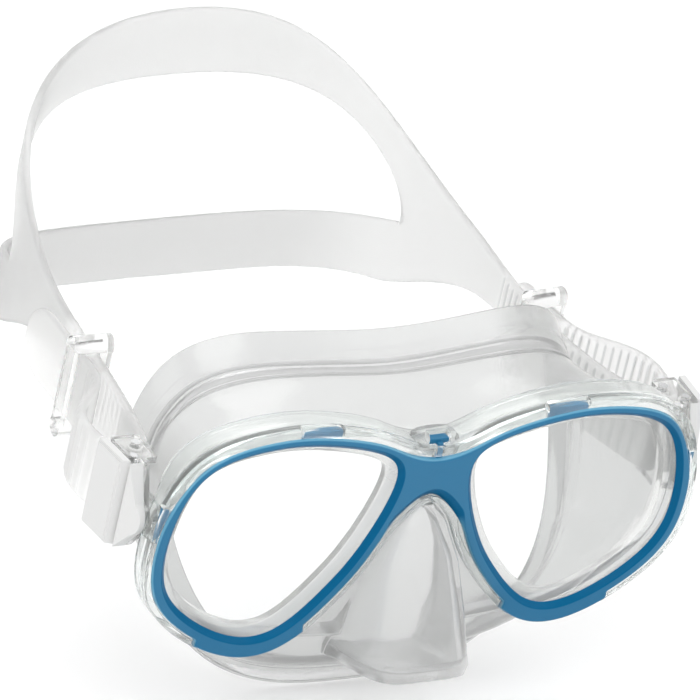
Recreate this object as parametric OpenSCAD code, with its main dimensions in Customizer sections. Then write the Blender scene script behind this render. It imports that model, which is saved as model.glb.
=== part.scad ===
// Two-lens diving mask with a clear skirt, a clipped-in bezel and a split head strap.
// Millimetres, +Z up, the lenses face -Y. The origin is under the middle of the whole part, on the floor.

/* [Lenses] */
// Distance between the middles of the two lenses
lens_spacing = 72; // [68:0.5:76]
// Thickness of the tempered glass
lens_t = 3.5; // [3:0.25:4]
// How far the glass reaches under the bezel lip
lens_lap = 2; // [1.8:0.1:2.2]

/* [Bezel] */
// Width of the coloured ring around each lens
bezel_w = 3.6; // [3.4:0.1:4]
// Height of the ring above the glass
bezel_h = 1.4; // [1.2:0.1:1.8]
// Width of the sloped edge that runs down to the glass
bezel_slope = 1.3; // [0.8:0.1:1.8]

/* [Frame] */
// How far the clear frame stands out beyond the lens opening
frame_w = 5.6; // [5.4:0.1:6]
// Depth of the frame behind the glass front
frame_d = 5; // [4.6:0.1:5.4]
// Extra depth of the brow band over the lenses
brow_d = 3.6; // [2:0.2:4]

/* [Skirt] */
// Wall thickness of the silicone
skirt_t = 2; // [1.6:0.1:2.4]
// Depth of the forehead lip behind the glass
skirt_d = 33; // [28:1:38]
// How far the temples sit behind the forehead
temple_d = 13; // [8:1:18]
// How far the lip under the nose sits in front of the forehead lip
chin_d = 19; // [14:1:24]
// How far the nose pocket stands out in front of the glass
nose_out = 19; // [14:1:22]

/* [Buckles] */
// Radius of the pin that each buckle swivels on
pivot_r = 2; // [1.8:0.1:2.2]
// Radius of the strap roller
roller_r = 1.9; // [1.8:0.1:2.2]
// Running clearance on every pin, on the radius
run_gap = 0.05; // [0.03:0.01:0.08]

/* [Strap] */
// Width of the ribbed strap ends
strap_w = 19; // [17:0.5:20]
// Thickness of the strap
strap_t = 2; // [1.8:0.1:2.2]
// Distance from the glass to the back of the strap
strap_reach = 150; // [140:1:165]
// Height of the upper band at the back
band_high = 60; // [52:1:66]
// Height of each rib on the strap ends
rib_h = 0.6; // [0.4:0.1:0.8]

/* [Hidden] */
gap = 0.4;                                  // air between neighbouring pieces
half_space = lens_spacing / 2;
spread = half_space - 36;                   // the skirt widens with the lens spacing
lens_y = 0.15;                              // front of the glass, behind the bezel lip
seat_y = lens_y + lens_t + 0.15;            // front of the silicone seat behind the glass
seat_t = 1.8;
wall_in = 2.5;                               // inside of the bezel wall, beyond the lens opening
bezel_back = 0.9;
frame_rise = 1.1;                           // front of the frame, ahead of the glass
pivot_y = 8.5;
pivot_z = 9;
lug_x = half_space + 36.6;                  // the ears stand on the outer edge of the frame
lug_t = 2.2;
lug_r = 4.8;
cage_x = lug_x + lug_t + gap;               // inner face of each buckle
cage_t = 1.5;
cover_x = cage_x + cage_t + 0.2;
cover_t = 3.6;                              // at the crease, a quarter of that at the front
buckle_z = 11;                              // height of the strap and the roller in the buckle
cheek_in = strap_w / 2 + 0.5;
cheek_t = 1.7;
cheek_y = 11.2;
crease_y = 9.4;
roller_y = 18.5;
run_r = roller_r + 0.3 + strap_t / 2;       // centre line of the strap round the roller
roller_x = lug_x + run_r - 1.6;
tail_x = roller_x + run_r;
roller_pin_r = 1.2;
lever_x = roller_x + 3.4;
lever_y = 13.1;
lever_pin_r = 1;
barrel_r = 1.7;
plate_x = tail_x + strap_t / 2 + rib_h + 2 * gap;
plate_t = 1.8;
keeper_s = 0.152;                           // place of the keeper along the strap curve
keeper_t = 1.4;
keeper_w = 4.6;
keeper_roll = 2.6;
nose_front = nose_out - 1;                  // the pocket ends flat, a little short of its full reach
steps = 6;                                  // points in each span of a smooth outline

// Control points of one lens opening, measured from the lens middle, +X away from the nose
lens_ctrl = [[-19.5, -3], [-13, -12], [-1, -25.5], [12, -25.5], [28, -16], [36, -5.5],
    [34.8, 13], [28.5, 26], [11.5, 29], [-1, 29], [-21, 24.8], [-28, 18.5]];

// Half outlines of the skirt, from the middle of the brow round to the middle of the lip
front_ctrl = [[0, 23], [14, 25], [34, 30.5], [50, 30.5], [65, 27], [71.5, 13],
    [72, -6], [65, -16], [50, -26.5], [35, -29], [15, -31], [0, -31]];
wall_ctrl = [[0, 26], [14, 28], [34, 31.5], [50, 30.5], [62, 26], [67.5, 12],
    [67.5, -6], [63, -20], [50, -33], [34, -40], [16, -42], [0, -42]];
crease_ctrl = [[0, 31], [14, 32], [30, 32.5], [44, 31], [56, 25], [62, 11],
    [62, -7], [57, -23], [46, -37], [32, -45], [16, -47], [0, -47]];
lip_ctrl = [[0, 38], [14, 38.5], [31, 39], [46, 37.5], [57.5, 29], [62, 11],
    [62, -8], [57, -26], [46, -41], [32, -49.5], [16, -52], [0, -51.5]];

// The origin lies half way from the nose to the back of the strap, level with the lowest point of the lip
mid_y = (strap_reach + strap_t / 2 - nose_front) / 2;
base_z = min([for (p = smooth(mirrored(lip_ctrl), 4)) p.y]);

// Smooth curves
function blend(t, a, b, c, d) = ((1 - t) ^ 3 * a + (3 * t ^ 3 - 6 * t ^ 2 + 4) * b
    + (-3 * t ^ 3 + 3 * t ^ 2 + 3 * t + 1) * c + t ^ 3 * d) / 6;
function slope(t, a, b, c, d) = ((1 - t) ^ 2 * (b - a) + (1 + 2 * t - 2 * t ^ 2) * (c - b)
    + t ^ 2 * (d - c)) / 2;
function wrap(list, i) = list[(i + len(list)) % len(list)];
function smooth(ctrl, n = steps, out = 0) = [for (i = [0:len(ctrl) - 1], k = [0:n - 1])
    let (a = wrap(ctrl, i), b = wrap(ctrl, i + 1), c = wrap(ctrl, i + 2), d = wrap(ctrl, i + 3),
        p = blend(k / n, a, b, c, d), v = slope(k / n, a, b, c, d) / norm(slope(k / n, a, b, c, d)))
    out == 0 ? p : p + out * [v.y, -v.x]];
function bezier(t, a, b, c, d) = (1 - t) ^ 3 * a + 3 * t * (1 - t) ^ 2 * b
    + 3 * t ^ 2 * (1 - t) * c + t ^ 3 * d;
function wider(half) = [for (p = half) [p.x + spread * min(1, p.x / 36), p.y]];
function mirrored(half) = let (w = wider(half)) concat(w, [for (i = [len(w) - 2:-1:1]) [-w[i].x, w[i].y]]);
function ease(u) = u <= 0 ? 0 : u >= 1 ? 1 : u * u * (3 - 2 * u);

// Solid through a list of closed rings with the same number of points, capped or joined end to end
module loft(rings, loop = false) {
    n = len(rings[0]);
    m = len(rings);
    sides = [for (j = [0:loop ? m - 1 : m - 2], i = [0:n - 1])
        let (p = j * n, q = ((j + 1) % m) * n, k = (i + 1) % n)
        each [[p + i, q + i, q + k], [p + i, q + k, p + k]]];
    caps = loop ? [] : [[for (i = [0:n - 1]) i], [for (i = [n - 1:-1:0]) (m - 1) * n + i]];
    points = [for (r = rings) each r];
    volumes = [for (f = sides) cross(points[f[0]], points[f[1]]) * points[f[2]]];
    inside_out = volumes * [for (v = volumes) 1] > 0;
    polyhedron(points, [for (f = concat(caps, sides)) inside_out ? [for (i = [len(f) - 1:-1:0]) f[i]] : f]);
}

// Sheet cut to a flat outline that faces the front, from y0 back to y1
module slab(y0, y1) {
    translate([0, y1, 0])
        rotate([90, 0, 0])
            linear_extrude(y1 - y0)
                children();
}

module both() {
    children();
    mirror([1, 0, 0]) children();
}

module flip(side) {
    if (side < 0) mirror([1, 0, 0]) children();
    else children();
}

module place() {
    translate([0, -mid_y, -base_z])
        children();
}

// One lens outline, moved out by d all round
module lens_shape(d) {
    translate([half_space, 0])
        polygon(smooth(lens_ctrl, steps, d));
}

module lens_pair(d) {
    lens_shape(d);
    mirror([1, 0]) lens_shape(d);
}

// Rings of the lens outline for the sloped bezel edge
function lens_ring(d, y) = [for (p = smooth(lens_ctrl, steps, d)) [p.x + half_space, y, p.y]];

module bridge_shape(bottom, top, w) {
    arch = [for (x = [-w:0.5:w]) [x, bottom - 1.4 * (sqrt(x * x + 10) - 3.16)]];
    polygon(concat(arch, [[w, top + 3.5], [0, top], [-w, top + 3.5]]));
}

module bezel() {
    color("SteelBlue")
        place()
            difference() {
                union() {
                    slab(-bezel_h, bezel_back) {
                        lens_pair(bezel_w);
                        bridge_shape(14, 21.5, 11);
                        bezel_foot(0);
                    }
                    both() bezel_tabs();
                }
                both() {
                    loft([lens_ring(bezel_slope * (1 + 1 / bezel_h), -bezel_h - 1),
                        lens_ring(0, 0), lens_ring(0, 0.1)]);
                    slab(0, bezel_back + 1) lens_shape(wall_in);
                }
            }
}

// Wider foot of the ring under each lens, where it can be prised off
module bezel_foot(extra) {
    intersection() {
        lens_pair(bezel_w + 1.7 + extra);
        for (s = [-1, 1])
            translate([s * (half_space + 7.5) - 12.5 - extra, -40]) square([25 + 2 * extra, 25]);
    }
}

// Clips that snap into the notches of the frame, over and outside each lens
module bezel_tabs(extra = 0) {
    translate([half_space - 7 - extra, 0.2 - extra, 30 - extra])
        cube([11 + 2 * extra, 1.4 + 2 * extra, 3.4 + 2 * extra]);
    translate([half_space + 34 - extra, 0.2 - extra, 6 - extra])
        cube([5.6 + 2 * extra, 1.4 + 2 * extra, 9 + 2 * extra]);
}

module frame() {
    color("Azure", 0.5)
        place()
            difference() {
                union() {
                    slab(-frame_rise, frame_d) {
                        lens_pair(frame_w);
                        bridge_shape(14, 25, 13);
                    }
                    brow();
                    both() lug();
                    slab(1, frame_d + 1.5) translate([-4, 20]) square([8, 7.5]);
                }
                slab(-frame_rise - 1, bezel_back + 0.2) {
                    lens_pair(bezel_w + 0.3);
                    bridge_shape(13, 22, 11.5);
                    bezel_foot(0.6);
                }
                slab(-frame_rise - 1, frame_d + 0.2) lens_pair(lens_lap + gap);
                slab(seat_y - gap, frame_d + brow_d + 1) polygon(smooth(mirrored(front_ctrl), 4, -gap));
                slab(seat_y + seat_t, frame_d + brow_d + 1) polygon(smooth(mirrored(wall_ctrl), 4, -gap));
                both() {
                    bezel_tabs(0.3);
                    translate([lug_x + lug_t, bezel_back + 1.4, pivot_z - 21]) cube([frame_w + 10, 20, 42]);
                    translate([lug_x - 1, pivot_y, pivot_z])
                        rotate([0, 90, 0])
                            cylinder(r = pivot_r + 0.01, h = lug_t + 2, $fn = 64);
                }
            }
}

// Deeper band over the lenses, with one step on its outer face
module brow() {
    intersection() {
        difference() {
            union() {
                slab(frame_d - 1, frame_d + brow_d) lens_pair(frame_w - 1);
                slab(frame_d - 1, frame_d + brow_d * 0.5) lens_pair(frame_w);
            }
            slab(frame_d - 2, frame_d + brow_d + 1) lens_pair(lens_lap + gap);
        }
        translate([-half_space - 24, 0, 14]) cube([2 * half_space + 48, frame_d + brow_d + 2, 40]);
    }
}

// Ear on the side of the frame that carries the buckle
module lug() {
    translate([lug_x, 0, pivot_z])
        rotate([0, 90, 0])
            linear_extrude(lug_t) {
                translate([0, pivot_y]) circle(r = lug_r, $fn = 96);
                translate([-lug_r, 3]) square([2 * lug_r, pivot_y - 3]);
            }
}

module lens(side) {
    color("LightCyan", 0.35)
        place()
            flip(side)
                slab(lens_y, lens_y + lens_t) lens_shape(lens_lap);
}

// Depth of a skirt ring: the temples run back and the lip under the nose comes forward
function depth(p, d, wrapped, forward) = d + wrapped * (p.x / 68) ^ 2 - forward * ease(-p.y / 50 + 0.3);
function skirt_ring(half, d, wrapped, forward, inset, pull = 0) = [for (p = smooth(mirrored(half), 4, inset))
    [p.x, depth(p, d, wrapped, forward) - pull, p.y]];

module skirt() {
    front = seat_y;
    wall = front + 5;
    crease = skirt_d * 0.72;
    outer = [
        skirt_ring(front_ctrl, front, 0, 0, 0),
        skirt_ring(front_ctrl, front + seat_t + 0.4, 0, 0, 0),
        skirt_ring(wall_ctrl, wall + 1, 1, 0, 0),
        skirt_ring(crease_ctrl, crease, temple_d * 0.7, chin_d * 0.55, 0),
        skirt_ring(lip_ctrl, skirt_d, temple_d, chin_d, 0)];
    inner = [
        skirt_ring(lip_ctrl, skirt_d, temple_d, chin_d, 0.8, 0.6),
        skirt_ring(crease_ctrl, crease, temple_d * 0.7, chin_d * 0.55, skirt_t, 0.3),
        skirt_ring(wall_ctrl, wall + 1, 1, 0, skirt_t),
        skirt_ring(front_ctrl, front + seat_t, 0, 0, skirt_t + 1.5),
        skirt_ring(front_ctrl, front, 0, 0, skirt_t + 1.5)];
    color("WhiteSmoke", 0.6)
        place()
            difference() {
                union() {
                    loft(concat(outer, inner), true);
                    slab(front, front + seat_t) polygon(smooth(mirrored(front_ctrl), 4, 1));
                    nose(0);
                }
                slab(front - 1, front + seat_t + 0.5) lens_pair(-1.2);
                nose(skirt_t);
            }
}

// Nose pocket: sections from the bridge down to the flat bottom, each rounded toward the front
function nose_section(z, half, reach, back) = [for (a = [0:15:180])
    let (c = cos(a), s = sin(a))
    [half * sign(c) * abs(c) ^ 0.75, back - (back + reach) * s ^ 0.6, z]];

module nose(inset) {
    back = seat_y + (inset > 0 ? 4 : 1);
    levels = [
        [11 - inset, 3.6, 0.5],
        [6 - inset * 0.5, 6, 2.5],
        [-6, 9, 7],
        [-19, 12, 13],
        [-29 + inset * 0.5, 14, nose_front],
        [-32.5 + inset, 13, nose_front - 0.4]];
    loft([for (l = levels) nose_section(l[0], l[1] - inset, l[2] - inset, back)]);
}

// Buckle outline seen from the side: round about the pivot, flaring to full height at y1
module buckle_side(r, y1, y2) {
    full = cheek_in + cheek_t;
    intersection() {
        circle(r = r, $fn = 96);
        translate([-2 * r, -2 * r]) square([2 * r + y2 - pivot_y, 4 * r]);
    }
    polygon([[-r * 0.6, -r * 0.8], [y1 - pivot_y, buckle_z - pivot_z - full],
        [y2 - pivot_y, buckle_z - pivot_z - full], [y2 - pivot_y, buckle_z - pivot_z + full],
        [y1 - pivot_y, buckle_z - pivot_z + full], [-r * 0.6, r * 0.8]]);
}

// Turns a side outline (along the strap, up) into a plate from x0 to x1
module side_plate(x0, x1) {
    translate([x0, pivot_y, pivot_z])
        rotate([90, 0, 90])
            linear_extrude(x1 - x0)
                children();
}

module buckle_cage(side) {
    color("AliceBlue", 0.6)
        place()
            flip(side)
                difference() {
                    union() {
                        side_plate(cage_x, cage_x + cage_t) buckle_side(5, crease_y, crease_y + 1);
                        for (s = [-1, 1])
                            translate([0, 0, buckle_z + s * (cheek_in + cheek_t / 2)])
                                linear_extrude(cheek_t, center = true) cheek_shape();
                    }
                    translate([cage_x - 1, pivot_y, pivot_z])
                        rotate([0, 90, 0]) {
                            cylinder(r = pivot_r + run_gap, h = cage_t + 2, $fn = 64);
                            translate([0, 0, cage_t - 0.1]) cylinder(r = pivot_r + 0.9, h = 3, $fn = 64);
                        }
                    pin_hole(roller_x, roller_y, roller_pin_r + 0.01);
                    pin_hole(lever_x, lever_y, lever_pin_r + 0.01);
                }
}

// Top and bottom cheeks of the cage, which hold the roller and the lever pin
module cheek_shape() {
    inner = roller_x - 2;
    outer = plate_x - gap;
    back = roller_y + 3;
    translate([cage_x, crease_y]) square([cage_t, cheek_y - crease_y + 1]);
    polygon([[inner, cheek_y], [outer - 1.4, cheek_y], [outer, cheek_y + 2], [outer, back],
        [inner + 1, back], [inner, back - 1]]);
}

module pin_hole(x, y, r) {
    translate([x, y, buckle_z - 20])
        cylinder(r = r, h = 40, $fn = 48);
}

// White front plate: a wedge that rises from the frame to the crease, with stepped edges
module buckle_cover(side) {
    reach = 5.2;
    front = pivot_y - reach;
    color("White")
        place()
            flip(side)
                intersection() {
                    side_plate(cover_x, cover_x + cover_t) buckle_side(reach, crease_y, crease_y + 0.1);
                    translate([0, 0, buckle_z])
                        linear_extrude(60, center = true)
                            polygon([[cover_x, front - 1], [cover_x + cover_t / 4, front - 1],
                                [cover_x + cover_t, crease_y - 0.6], [cover_x + cover_t, crease_y],
                                [cover_x, crease_y]]);
                }
}

// White rear plate that turns on its pin and clamps the strap tail
module release_lever(side) {
    half = cheek_in + cheek_t;
    color("White")
        place()
            flip(side)
                difference() {
                    translate([0, 0, buckle_z]) {
                        translate([lever_x, lever_y, 0])
                            cylinder(h = 2 * cheek_in - 0.8, r = barrel_r, center = true, $fn = 64);
                        translate([lever_x, lever_y - barrel_r * 0.8, gap - cheek_in])
                            cube([plate_x + 1 - lever_x, barrel_r * 1.1, 2 * (cheek_in - gap)]);
                        linear_extrude(2 * half, center = true) lever_shape(0);
                        linear_extrude(2 * half - 1.6, center = true) lever_shape(0.5);
                    }
                    pin_hole(lever_x, lever_y, lever_pin_r + run_gap);
                }
}

// Plan of the lever plate, which leans out toward its thumb end
module lever_shape(raise) {
    y0 = crease_y + gap;
    y1 = roller_y + 3.2;
    polygon([[plate_x, y0 + 0.6 + raise], [plate_x + plate_t + raise, y0 + 1.5 + raise],
        [plate_x + plate_t + 0.9 + raise, y1 - raise], [plate_x + 0.9, y1 - raise]]);
}

module lever_pin(side) {
    color("Silver")
        place()
            flip(side)
                translate([lever_x, lever_y, buckle_z])
                    cylinder(r = lever_pin_r, h = 2 * (cheek_in + cheek_t), center = true, $fn = 48);
}

module roller_pin(side) {
    color("Silver")
        place()
            flip(side)
                translate([roller_x, roller_y, buckle_z])
                    cylinder(r = roller_pin_r, h = 2 * (cheek_in + cheek_t), center = true, $fn = 48);
}

module strap_roller(side) {
    color("Gainsboro")
        place()
            flip(side)
                translate([roller_x, roller_y, buckle_z])
                    difference() {
                        cylinder(r = roller_r, h = 2 * cheek_in - 0.8, center = true, $fn = 64);
                        cylinder(r = roller_pin_r + run_gap, h = 2 * cheek_in, center = true, $fn = 64);
                    }
}

module pivot_pin(side) {
    color("Silver")
        place()
            flip(side)
                translate([lug_x, pivot_y, pivot_z])
                    rotate([0, 90, 0]) {
                        cylinder(r = pivot_r, h = lug_t + gap + cage_t - 0.2, $fn = 64);
                        translate([0, 0, lug_t + gap + cage_t - 0.9])
                            cylinder(r = pivot_r + 0.6, h = 0.8, $fn = 64);
                    }
}

// Plan of the strap: tail, turn round the roller, side run and half of the back
lean = 20;                                  // angle between each run and the buckle at the roller
aim = 8;                                    // angle of the side run as a whole
roller_at = [roller_x, roller_y];
run_start = roller_at - run_r * [cos(lean), sin(lean)];
plan = [run_start, run_start + 110 * [-sin(aim), cos(aim)], [62, strap_reach], [0, strap_reach]];
bow = 3.25;                                 // how far the side run bows in behind the buckle
rib_end = 0.175;
rib_step = 0.0024;
waist = 9.5;                                // how far the low edge rises behind the keeper
split_at = 0.44;
split_z = 12;
tail_gap = strap_t + 2 * rib_h + gap;       // between the two runs in the keeper
tail_meet = 0.126;                          // where the tail joins the side run, just before the keeper
tail_ends = [0.272, 0.182];                 // left and right tail, as set on the wearer
function bowed(t) = t > 0.3 ? 0 : bow * 6.75 * (t / 0.3) * (1 - t / 0.3) ^ 2;
function run(t) = bezier(t, plan[0], plan[1], plan[2], plan[3]) - [bowed(max(t, 0)), 0];
function along(t) = let (v = run(max(t, 0) + 0.001) - run(max(t - 0.001, 0))) v / norm(v);
function beside(t) = run(t) + tail_gap * [along(t).y, -along(t).x];
loop_plan = let (a = roller_at + run_r * [cos(lean), -sin(lean)])
    [a, a + 29 * [sin(lean), cos(lean)], beside(tail_meet) - 15 * along(tail_meet), beside(tail_meet)];
function loop_at(u) = bezier(u, loop_plan[0], loop_plan[1], loop_plan[2], loop_plan[3]);
function loop_way(u) = let (v = loop_at(u - 0.005) - loop_at(u + 0.005)) v / norm(v);
function top_z(t) = buckle_z + bezier(t, strap_w / 2, strap_w / 2 - 9.5, band_high - 11, band_high - 11);
function low_z(t) = buckle_z - bezier(t, strap_w / 2, strap_w / 2 - 3.5, 31.5, 30)
    + waist * ease((t - 0.163) / 0.05) * ease((0.47 - t) / 0.22);
function open_u(t) = max(0, (t - split_at) / (1 - split_at));
function upper_low(t) = split_z - 4 + 4 * ease((t - split_at + 0.05) / 0.05)
    + 29 * sqrt(1 - (1 - open_u(t)) ^ 2);
function lower_high(t) = split_z + 4 - 4 * ease((t - split_at + 0.05) / 0.05)
    - 14 * (1 - (1 - open_u(t)) ^ 2);

// Stations are [place, way to the ribbed face, rib height, low edge, top edge]
function station(p, v, rib, z0, z1) = [p, [-v.y, v.x], rib, z0, z1];
function ribbed(i) = i % 4 == 1 || i % 4 == 2 ? rib_h : 0;
function tongue(t, end) = strap_w / 2 * sqrt(max(0.02, 1 - max(0, (t - end + 0.05) / 0.05) ^ 2));
function tail_run(end) = [for (i = [0:20]) let (t = end + (tail_meet - end) * sin(i * 4.5))
    station(beside(t), -along(t), 0, buckle_z - tongue(t, end), buckle_z + tongue(t, end))];
loop_run = [for (i = [1:62])
    station(loop_at(1 - i / 63), loop_way(1 - i / 63), ribbed(i), low_z(0), top_z(0))];
turn_run = [for (a = [-lean:-10:lean - 180])
    station(roller_at + run_r * [cos(a), sin(a)], [sin(a), -cos(a)], 0, low_z(0), top_z(0))];
side_run = [for (i = [1:floor(rib_end / rib_step)]) let (t = i * rib_step)
    station(run(t), along(t), ribbed(i), low_z(t), top_z(t))];
plain_run = [for (t = [rib_end + 0.02:0.02:split_at - 0.02])
    station(run(t), along(t), 0, low_z(t), top_z(t))];
back_ts = [for (i = [0:36]) split_at - 0.05 + (1.05 - split_at) * (i / 36) ^ 1.3];
function strap_ring(s) = let (a = s[0] - s[1] * strap_t / 2, b = s[0] + s[1] * (strap_t / 2 + s[2]))
    [[a.x, a.y, s[3]], [b.x, b.y, s[3]], [b.x, b.y, s[4]], [a.x, a.y, s[4]]];
function flipped(ring) = [for (p = ring) [-p.x, p.y, p.z]];
function strap_end(end) = [for (s = concat(tail_run(end), loop_run, turn_run, side_run, plain_run))
    strap_ring(s)];

// One band across the back, from split to split
module band(lows, tops) {
    half = [for (i = [0:36]) strap_ring(station(run(back_ts[i]), along(back_ts[i]), 0, lows[i], tops[i]))];
    loft(concat(half, [for (i = [35:-1:0]) flipped(half[i])]));
}

module strap() {
    color("Snow", 0.7)
        place() {
            mirror([1, 0, 0]) loft(strap_end(tail_ends[0]));
            loft(strap_end(tail_ends[1]));
            band([for (t = back_ts) upper_low(t)], [for (t = back_ts) top_z(t)]);
            band([for (t = back_ts) low_z(t)], [for (t = back_ts) lower_high(t)]);
        }
}

// Loop that holds the strap tail against the side run, with a rolled grip above and below
module keeper(side) {
    v = along(keeper_s);
    p = run(keeper_s);
    in0 = -strap_t / 2 - rib_h - gap;
    in1 = tail_gap + strap_t / 2 + rib_h + gap;
    z0 = min(low_z(0), low_z(keeper_s)) - 0.8;
    z1 = max(top_z(0), top_z(keeper_s)) + 0.8;
    wide = in1 - in0 + 2 * keeper_t;
    color("AliceBlue", 0.6)
        place()
            flip(side)
                translate([p.x, p.y, 0])
                    rotate([0, 0, atan2(v.y, v.x) - 90])
                        difference() {
                            union() {
                                translate([in0 - keeper_t, -keeper_w / 2, z0 - 1])
                                    cube([wide, keeper_w, z1 - z0 + 2]);
                                for (z = [z0 - 1, z1 + 1])
                                    translate([in0 - keeper_t, 0, z])
                                        rotate([0, 90, 0]) cylinder(r = keeper_roll, h = wide, $fn = 64);
                            }
                            translate([in0, -keeper_w, z0]) cube([in1 - in0, 2 * keeper_w, z1 - z0]);
                        }
}

skirt();
frame();
bezel();
lens(-1);  // lens_left
lens(1);  // lens_right
strap();
buckle_cage(-1);  // buckle_cage_left
buckle_cage(1);  // buckle_cage_right
buckle_cover(-1);  // buckle_cover_left
buckle_cover(1);  // buckle_cover_right
release_lever(-1);  // release_lever_left
release_lever(1);  // release_lever_right
lever_pin(-1);  // lever_pin_left
lever_pin(1);  // lever_pin_right
strap_roller(-1);  // strap_roller_left
strap_roller(1);  // strap_roller_right
roller_pin(-1);  // roller_pin_left
roller_pin(1);  // roller_pin_right
pivot_pin(-1);  // pivot_pin_left
pivot_pin(1);  // pivot_pin_right
keeper(-1);  // keeper_left
keeper(1);  // keeper_right
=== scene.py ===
# Looks of the two-lens diving mask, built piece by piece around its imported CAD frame.
import math

import bmesh
import bpy
import numpy as np
from mathutils import Matrix, Vector


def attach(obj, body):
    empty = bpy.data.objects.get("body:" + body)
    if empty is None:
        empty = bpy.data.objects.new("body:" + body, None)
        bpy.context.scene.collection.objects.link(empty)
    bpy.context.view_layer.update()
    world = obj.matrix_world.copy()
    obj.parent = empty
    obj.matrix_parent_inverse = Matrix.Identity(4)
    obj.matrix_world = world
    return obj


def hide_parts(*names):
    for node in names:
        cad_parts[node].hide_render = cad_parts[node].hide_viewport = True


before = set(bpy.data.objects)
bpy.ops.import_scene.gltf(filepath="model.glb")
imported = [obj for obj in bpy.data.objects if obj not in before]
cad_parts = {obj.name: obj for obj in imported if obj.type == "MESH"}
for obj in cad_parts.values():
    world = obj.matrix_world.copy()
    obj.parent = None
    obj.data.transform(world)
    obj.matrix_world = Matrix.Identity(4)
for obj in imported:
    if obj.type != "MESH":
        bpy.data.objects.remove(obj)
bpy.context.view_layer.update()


# Shared surface effect, as a shader node group in object space.
# Moulded surface: fine mould grain and slow waves as a normal, with a roughness that varies in patches.
moulded_surface = bpy.data.node_groups.new("Moulded surface", "ShaderNodeTree")
sockets = moulded_surface.interface
for name, value in (("Grain scale", 1800.0), ("Grain", 0.1), ("Wave scale", 60.0), ("Wave", 0.1),
                    ("Rough low", 0.2), ("Rough high", 0.3)):
    sockets.new_socket(name=name, in_out="INPUT", socket_type="NodeSocketFloat").default_value = value
for name, kind in (("Normal", "NodeSocketVector"), ("Roughness", "NodeSocketFloat"),
                   ("Patches", "NodeSocketFloat")):
    sockets.new_socket(name=name, in_out="OUTPUT", socket_type=kind)
nodes, links = moulded_surface.nodes, moulded_surface.links
given, made = nodes.new("NodeGroupInput"), nodes.new("NodeGroupOutput")
place = nodes.new("ShaderNodeTexCoord")
fine, slow, blotches = (nodes.new("ShaderNodeTexNoise") for _ in range(3))
fine.inputs["Detail"].default_value = 3
slow.inputs["Detail"].default_value = 2
blotches.inputs["Scale"].default_value = 90
blotches.inputs["Detail"].default_value = 6
blotches.inputs["Roughness"].default_value = 0.65
for noise in (fine, slow, blotches):
    links.new(place.outputs["Object"], noise.inputs["Vector"])
links.new(given.outputs["Grain scale"], fine.inputs["Scale"])
links.new(given.outputs["Wave scale"], slow.inputs["Scale"])
wave_bump, grain_bump = nodes.new("ShaderNodeBump"), nodes.new("ShaderNodeBump")
wave_bump.inputs["Distance"].default_value = 0.002
grain_bump.inputs["Distance"].default_value = 0.0001
links.new(given.outputs["Wave"], wave_bump.inputs["Strength"])
links.new(given.outputs["Grain"], grain_bump.inputs["Strength"])
links.new(slow.outputs["Fac"], wave_bump.inputs["Height"])
links.new(fine.outputs["Fac"], grain_bump.inputs["Height"])
links.new(wave_bump.outputs["Normal"], grain_bump.inputs["Normal"])
spread = nodes.new("ShaderNodeMapRange")
spread.inputs["From Min"].default_value = 0.35
spread.inputs["From Max"].default_value = 0.7
links.new(blotches.outputs["Fac"], spread.inputs["Value"])
links.new(given.outputs["Rough low"], spread.inputs["To Min"])
links.new(given.outputs["Rough high"], spread.inputs["To Max"])
links.new(grain_bump.outputs["Normal"], made.inputs["Normal"])
links.new(spread.outputs["Result"], made.inputs["Roughness"])
links.new(blotches.outputs["Fac"], made.inputs["Patches"])


# Skirt: one clear silicone moulding that seats the lenses, pockets the nose and seals on the face.
# Walls of about 2 mm run back from the flat front to a crease and a turned lip with a second lip inside it.
# Its front edge sits inside the frame, and the glass is pressed on its seats.
row = np.array([0.0, -66.5, 51.7083])       # mask middle to the row frame, in mm
lens_middle = np.array([36.0, 0.0])         # from the middle of the mask, sideways and up
lens_ctrl = [[-19.5, -3], [-13, -12], [-1, -25.5], [12, -25.5], [28, -16], [36, -5.5],
             [34.8, 13], [28.5, 26], [11.5, 29], [-1, 29], [-21, 24.8], [-28, 18.5]]
skirt_half = {
    "front": [[0, 23], [14, 25], [34, 30.5], [50, 30.5], [65, 27], [71.5, 13],
              [72, -6], [65, -16], [50, -26.5], [35, -29], [15, -31], [0, -31]],
    "wall": [[0, 26], [14, 28], [34, 31.5], [50, 30.5], [62, 26], [67.5, 12],
             [67.5, -6], [63, -20], [50, -33], [34, -40], [16, -42], [0, -42]],
    "crease": [[0, 31], [14, 32], [30, 32.5], [44, 31], [56, 25], [62, 11],
               [62, -7], [57, -23], [46, -37], [32, -45], [16, -47], [0, -47]],
    "lip": [[0, 38], [14, 38.5], [31, 39], [46, 37.5], [57.5, 29], [62, 11],
            [62, -8], [57, -26], [46, -41], [32, -49.5], [16, -52], [0, -51.5]]}
# Depth of each outline at the middle, how far its sides wrap back and how far its chin comes forward
skirt_depth = {"front": [6.0, 0.0, 0.0], "wall": [9.8, 1.0, 0.0],
               "crease": [23.76, 9.1, 10.45], "lip": [33.0, 13.0, 19.0]}
seat_y = 3.8                                # front of the silicone, against the glass
plate_span = (3.81, 5.6)                    # flat front that carries both seats
bed_out, bed_span = 2.2, (3.82, 5.5)        # silicone under the edge of the glass
seat_in, seat_span = 2.3, (2.8, 6.3)        # the seat reaches this far into the lens opening
nose_wall = 2.0
nose_side, nose_front = 0.42, 0.3           # how square the nose pocket is, towards 0
merge_gap = 0.000001                        # points this close are one, in m
straight = 0.08                             # bend of an edge that counts as straight, in radians


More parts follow.
